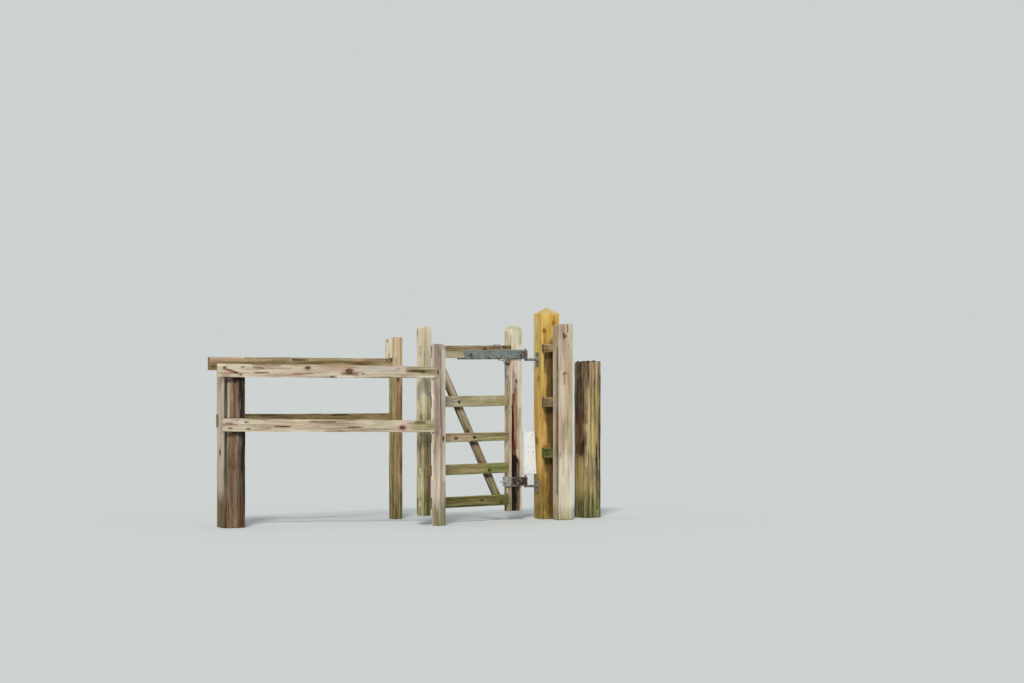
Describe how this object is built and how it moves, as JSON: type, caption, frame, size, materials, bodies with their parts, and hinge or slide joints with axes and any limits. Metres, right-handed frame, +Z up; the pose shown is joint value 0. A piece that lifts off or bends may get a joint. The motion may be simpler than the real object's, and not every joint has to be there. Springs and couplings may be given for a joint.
{
  "type": "wooden kissing gate",
  "caption": "Wooden kissing gate: a braced leaf on hook-and-strap hinges swings between the two shutting posts of a V-shaped pen of posts and rails.",
  "frame": {"origin": "centre of the hanging post's foot, at ground level", "axes": "+X along the centre line of the pen, from its apex post towards the hanging post and past it; -Y towards the side of the front shutting post; +Z up"},
  "size_m": [2.7251, 0.8467, 1.405],
  "materials": {
    "new_pine": "sawn, newly treated",
    "weathered_wood": "weathered grey",
    "dark_weathered_wood": "weathered dark, checked",
    "galvanised_steel": "dull galvanised",
    "white_plate": "matt white, bare"
  },
  "bodies": {
    "fixed_frame": {"hanging_post": "new_pine", "side_post": "weathered_wood", "old_post": "dark_weathered_wood", "apex_post": "dark_weathered_wood", "front_shutting_post": "weathered_wood", "rear_shutting_post": "weathered_wood", "rear_post_board": "weathered_wood", "front_top_rail": "weathered_wood", "front_lower_rail": "weathered_wood", "rear_top_rail": "weathered_wood", "rear_lower_rail": "weathered_wood", "side_rail_top": "weathered_wood", "side_rail_middle": "weathered_wood", "side_rail_bottom": "weathered_wood", "top_hook": "galvanised_steel", "bottom_hook": "galvanised_steel", "notice_batten": "weathered_wood", "notice_plate": "white_plate"},
    "gate": {"heel_stile": "weathered_wood", "shutting_stile": "weathered_wood", "gate_rail_top": "weathered_wood", "gate_rail_second": "weathered_wood", "gate_rail_third": "weathered_wood", "gate_rail_fourth": "weathered_wood", "gate_rail_bottom": "weathered_wood", "gate_brace": "weathered_wood", "top_strap": "galvanised_steel", "bottom_strap": "galvanised_steel"}
  },
  "joints": [
    {"name": "gate_swing", "type": "hinge", "parent": "fixed_frame", "child": "gate", "pos_m": [-0.155, 0, 0.6], "axis": [0, 0, 1], "range_deg": [-37, 3.6]}
  ]
}
